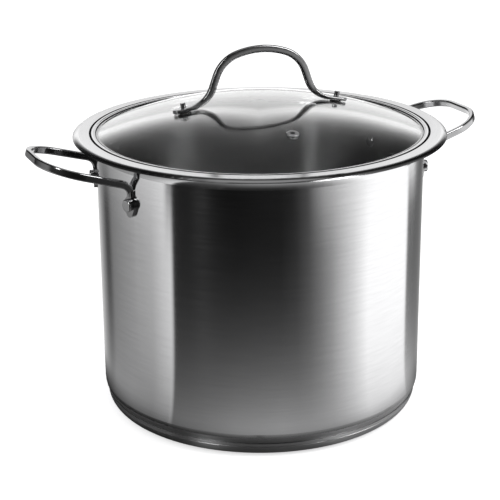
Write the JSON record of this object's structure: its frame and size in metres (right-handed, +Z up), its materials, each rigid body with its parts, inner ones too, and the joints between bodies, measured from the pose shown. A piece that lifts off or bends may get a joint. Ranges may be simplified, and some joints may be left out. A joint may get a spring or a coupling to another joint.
{
  "type": "stock pot",
  "caption": "Tall straight-sided steel stock pot with a flared rim, capped base and riveted bar handles, under a lift-off domed glass lid with a steel band, bow handle and steam vent.",
  "frame": {"origin": "middle of the base's underside, on the pot's axis", "axes": "+Z up along the pot's axis, +X through the right side handle, -Y towards the steam vent"},
  "size_m": [0.3814, 0.3008, 0.2971],
  "materials": {
    "polished_steel": "polished",
    "satin_steel": "satin",
    "core_aluminium": "rolled",
    "clear_glass": "clear",
    "silicone": "matte"
  },
  "bodies": {
    "pot": {"pot_shell": "polished_steel", "base_core": "core_aluminium", "base_cap": "polished_steel", "handle_left": "polished_steel", "handle_right": "polished_steel", "rivet_left_front": "satin_steel", "rivet_left_rear": "satin_steel", "rivet_right_front": "satin_steel", "rivet_right_rear": "satin_steel"},
    "lid": {"lid_glass": "clear_glass", "lid_band": "polished_steel", "lid_handle": "polished_steel", "post_left": "satin_steel", "post_right": "satin_steel", "seat_left": "silicone", "seat_right": "silicone", "under_left": "silicone", "under_right": "silicone", "washer_left": "satin_steel", "washer_right": "satin_steel", "nut_left": "satin_steel", "nut_right": "satin_steel", "steam_vent": "polished_steel", "vent_seat": "silicone"}
  },
  "joints": [
    {"name": "lid_lift", "type": "slide", "parent": "pot", "child": "lid", "axis": [0, 0, 1], "range_m": [0, 0.25]}
  ]
}
